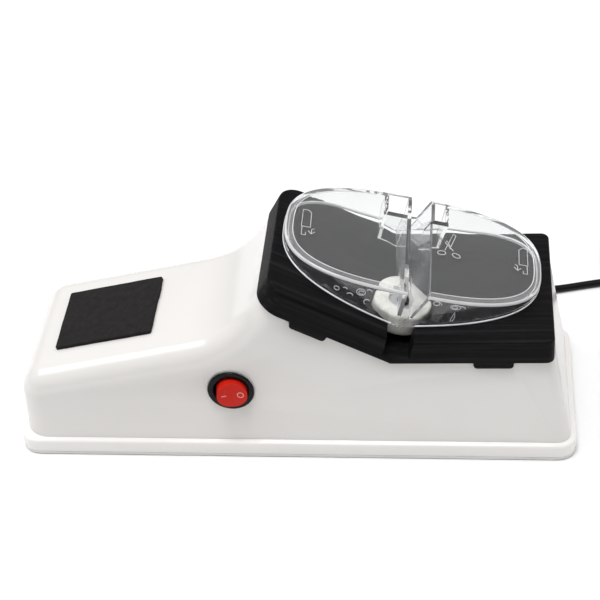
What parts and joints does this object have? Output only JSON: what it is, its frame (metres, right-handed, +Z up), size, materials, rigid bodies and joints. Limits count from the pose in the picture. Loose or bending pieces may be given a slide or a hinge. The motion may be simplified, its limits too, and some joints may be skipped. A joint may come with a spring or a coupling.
{
  "type": "electric knife and scissors sharpener",
  "caption": "Wedge-shaped electric knife and scissors sharpener: V-shaped head with a spinning grinding wheel under a clear slotted guard, rocker switch, hand pad and mains lead.",
  "frame": {"origin": "middle of the base on the ground, measured without the mains lead", "axes": "+X along the length towards the head and wheel, +Y away from the switch side, +Z up"},
  "size_m": [0.3617, 0.1933, 0.1106],
  "materials": {
    "housing_white": "glossy moulded ABS",
    "base_white": "moulded ABS",
    "head_black": "satin, grained like charred wood",
    "guard_clear": "clear acrylic",
    "pad_black": "matt foam rubber",
    "foot_rubber": "matt",
    "switch_black": "glossy nylon",
    "rocker_red": "glossy",
    "wheel_stone": "fine matt grit",
    "brass_parts": "plain",
    "bronze_bush": "sintered bronze",
    "steel_parts": "plain",
    "dark_screw": "blackened",
    "motor_black": "nylon",
    "ferrite": "ferrite",
    "clamp_nylon": "nylon",
    "lead_red": "PVC",
    "lead_black": "PVC",
    "cord_black": "satin PVC"
  },
  "bodies": {
    "root": {"base_plate": "base_white", "base_screw_1": "steel_parts", "base_screw_2": "steel_parts", "base_screw_3": "steel_parts", "base_screw_4": "steel_parts", "bracket_screw_1": "steel_parts", "bracket_screw_2": "steel_parts", "carbon_brush_1": "motor_black", "carbon_brush_2": "motor_black", "clamp_screw_1": "steel_parts", "clamp_screw_2": "steel_parts", "cord_clamp": "clamp_nylon", "cord_coil": "cord_black", "cord_tail": "cord_black", "cord_tie": "cord_black", "foot_1": "foot_rubber", "foot_2": "foot_rubber", "foot_3": "foot_rubber", "foot_4": "foot_rubber", "front_bush": "bronze_bush", "hand_pad": "pad_black", "head_cover": "head_black", "housing_shell": "housing_white", "lead_live_in": "lead_red", "lead_neutral_in": "lead_black", "lead_switched": "lead_red", "motor_bracket": "steel_parts", "motor_can": "steel_parts", "motor_end_cap": "motor_black", "motor_magnet_1": "ferrite", "motor_magnet_2": "ferrite", "motor_screw_1": "steel_parts", "motor_screw_2": "steel_parts", "plug_body": "cord_black", "plug_pin_1": "brass_parts", "plug_pin_2": "brass_parts", "power_cord": "cord_black", "rear_bush": "bronze_bush", "rectifier_block": "motor_black", "strain_relief": "cord_black", "switch_body": "switch_black", "switch_terminal_1": "brass_parts", "switch_terminal_2": "brass_parts"},
    "rocker": {"switch_rocker": "rocker_red"},
    "guard": {"clear_guard": "guard_clear"},
    "spindle": {"grinding_wheel": "wheel_stone", "wheel_arbor": "brass_parts", "wheel_washer": "steel_parts", "wheel_screw": "dark_screw", "motor_shaft": "steel_parts", "motor_armature": "steel_parts", "motor_commutator": "brass_parts"}
  },
  "joints": [
    {"name": "rocker_tilt", "type": "hinge", "parent": "root", "child": "rocker", "pos_m": [-0.0286, -0.03785, 0.04219], "axis": [0, -0.0384, -0.9993], "range_deg": [0, 16]},
    {"name": "guard_lift", "type": "slide", "parent": "root", "child": "guard", "axis": [0.2453, 0, 0.9694], "range_m": [0, 0.045]},
    {"name": "wheel_spin", "type": "hinge", "parent": "root", "child": "spindle", "pos_m": [0.05436, -0.0143, 0.07388], "axis": [0.2453, 0, 0.9694], "continuous": true}
  ]
}
